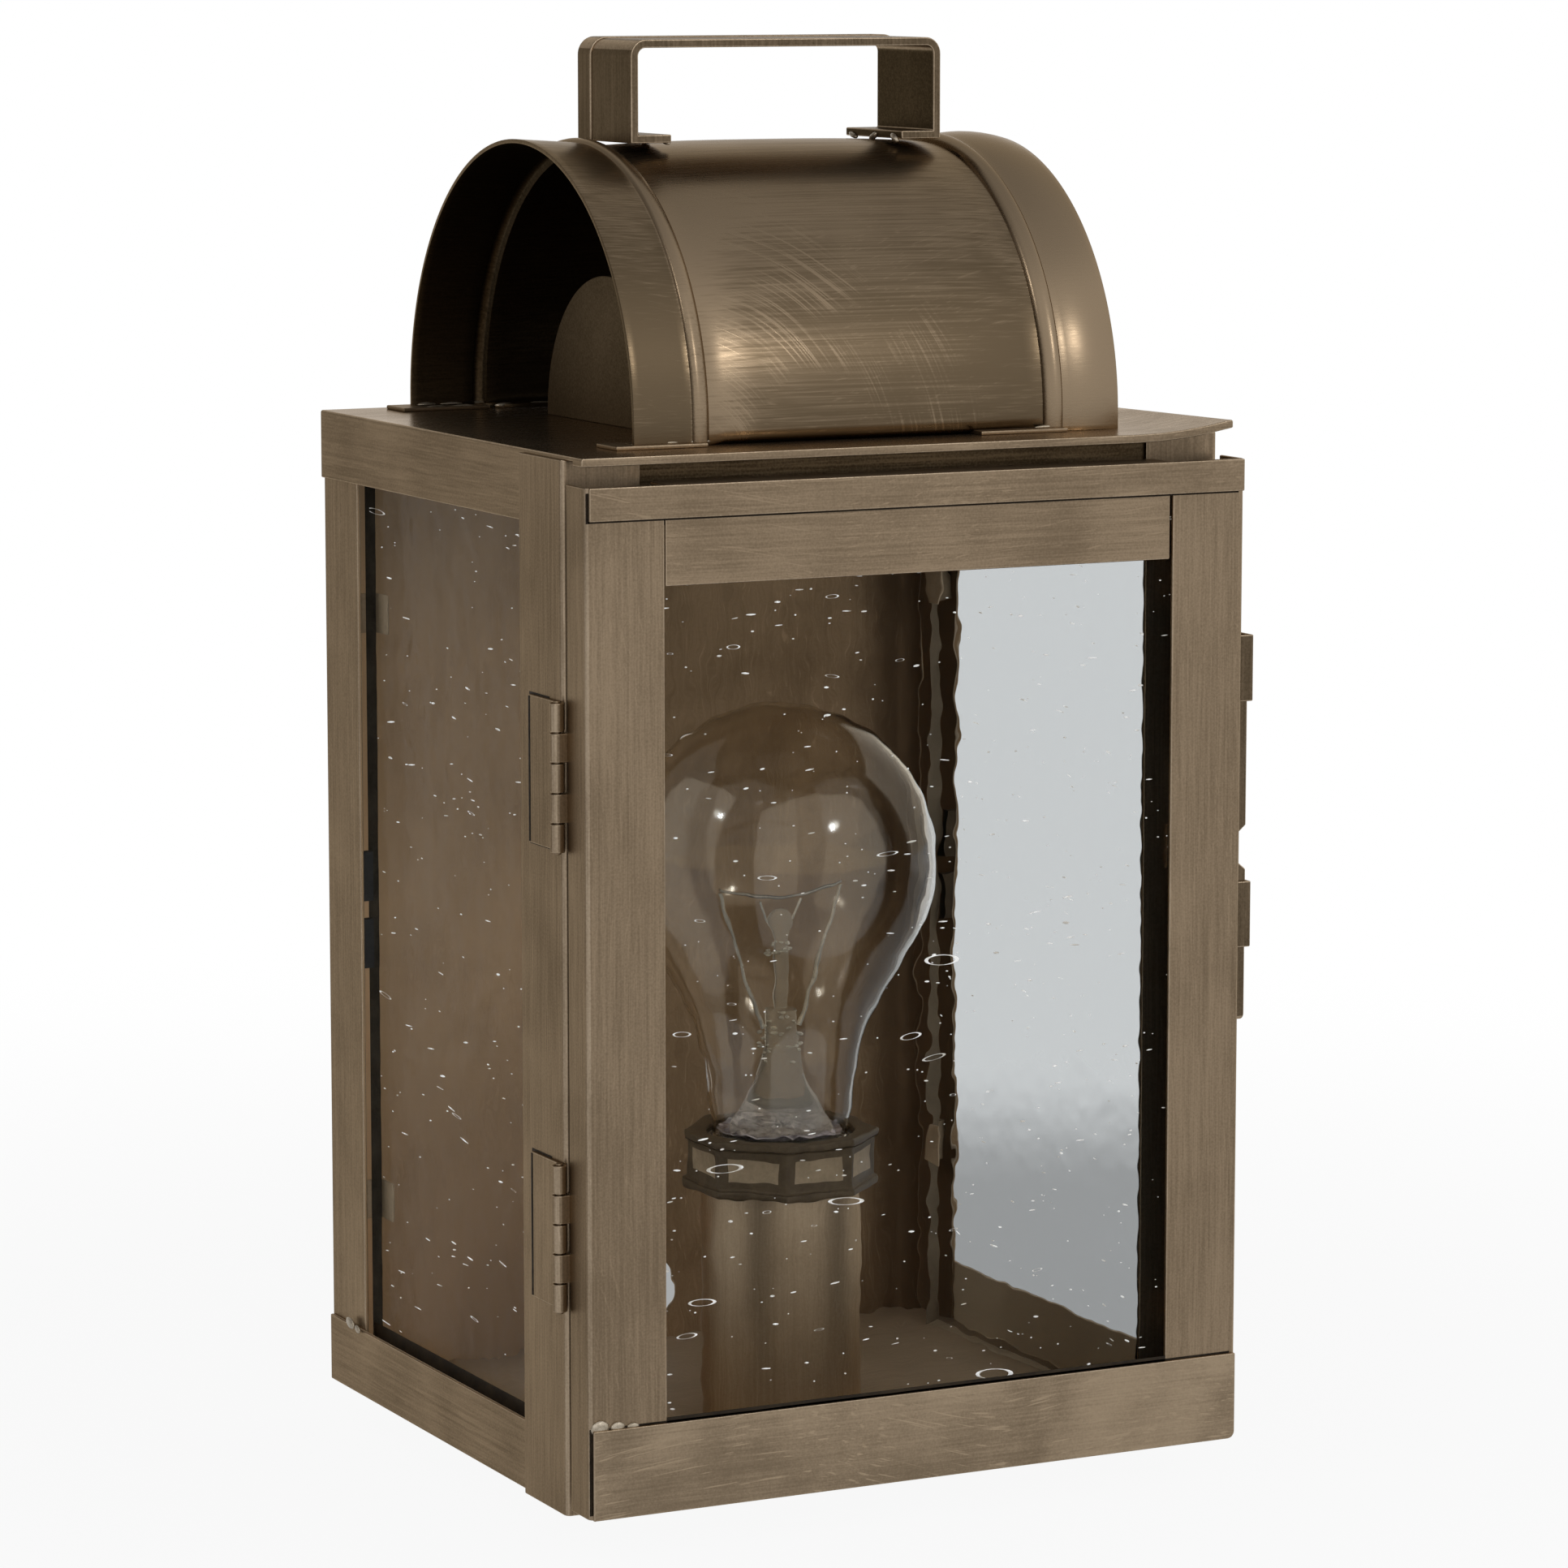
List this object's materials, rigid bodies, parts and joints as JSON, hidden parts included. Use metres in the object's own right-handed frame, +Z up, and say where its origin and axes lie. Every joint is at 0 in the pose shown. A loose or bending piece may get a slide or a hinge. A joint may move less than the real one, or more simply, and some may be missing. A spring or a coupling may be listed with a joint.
{
  "type": "outdoor wall light",
  "caption": "Box-shaped wall lantern of folded antique brass sheet with seedy glass panes, a hinged and latched front door, a barrel-vaulted vent roof, a strap handle and a clear bulb.",
  "frame": {"origin": "middle of the back panel's wall face, half way up the lantern's box", "axes": "+Z up, +Y into the wall, +X to the right when looking at the door from outside"},
  "size_m": [0.146, 0.1303, 0.2817],
  "materials": {
    "aged_brass": "hand-rubbed antique brass, brushed, clear of polish",
    "clip_brass": "dull sheet brass with solder",
    "hinge_brass": "antique brass, satin",
    "pane_glass": "clear seedy glass with bubbles and slight waves",
    "pad_rubber": "matt black",
    "collar_phenolic": "dark moulded, satin",
    "cup_phenolic": "dark moulded",
    "shell_aluminium": "bright pressed sheet",
    "contact_brass": "bright",
    "stud_steel": "zinc-yellow plated",
    "bulb_clear": "clear blown glass",
    "cap_aluminium": "bright rolled thread",
    "cap_insulator": "black vitrite",
    "cap_solder": "soft solder",
    "stem_glass": "clear lamp stem glass",
    "lead_nickel": "nickel wire",
    "filament_tungsten": "drawn tungsten"
  },
  "bodies": {
    "lantern_body": {"back_panel": "aged_brass", "roof_pan": "aged_brass", "base_pan": "aged_brass", "front_left_post": "aged_brass", "front_right_post": "aged_brass", "front_header": "aged_brass", "barrel_roof": "aged_brass", "barrel_feet": "aged_brass", "vent_baffle": "aged_brass", "handle_strap": "aged_brass", "socket_tube": "aged_brass", "door_strike": "aged_brass", "left_glass_clips": "clip_brass", "right_glass_clips": "clip_brass", "upper_hinge_post_leaf": "hinge_brass", "lower_hinge_post_leaf": "hinge_brass", "upper_hinge_pin": "hinge_brass", "lower_hinge_pin": "hinge_brass", "left_glass": "pane_glass", "right_glass": "pane_glass", "left_glass_pads": "pad_rubber", "right_glass_pads": "pad_rubber", "socket_collar": "collar_phenolic", "socket_body": "cup_phenolic", "socket_shell": "shell_aluminium", "socket_contact": "contact_brass", "threaded_nipple": "stud_steel", "nipple_washer": "stud_steel", "nipple_nut": "stud_steel"},
    "door": {"door_left_stile": "aged_brass", "door_right_stile": "aged_brass", "door_top_strip": "aged_brass", "door_inner_rail": "aged_brass", "door_bottom_rail": "aged_brass", "door_glass": "pane_glass", "door_glass_clips": "clip_brass", "upper_hinge_door_leaf": "hinge_brass", "lower_hinge_door_leaf": "hinge_brass", "upper_latch_keeper": "aged_brass", "lower_latch_keeper": "aged_brass"},
    "latch": {"latch_bar": "aged_brass"},
    "bulb": {"bulb_glass": "bulb_clear", "bulb_base": "cap_aluminium", "bulb_insulator": "cap_insulator", "bulb_contact": "cap_solder", "bulb_stem": "stem_glass", "bulb_lead_wires": "lead_nickel", "bulb_filament": "filament_tungsten"}
  },
  "joints": [
    {"name": "door_swing", "type": "hinge", "parent": "lantern_body", "child": "door", "pos_m": [-0.0714, -0.1196, 0], "axis": [0, 0, -1], "range_deg": [0, 170]},
    {"name": "latch_slide", "type": "slide", "parent": "door", "child": "latch", "axis": [0, 0, 1], "range_m": [0, 0.012]},
    {"name": "bulb_lift", "type": "slide", "parent": "lantern_body", "child": "bulb", "axis": [0, 0, 1], "range_m": [0, 0.024]}
  ]
}
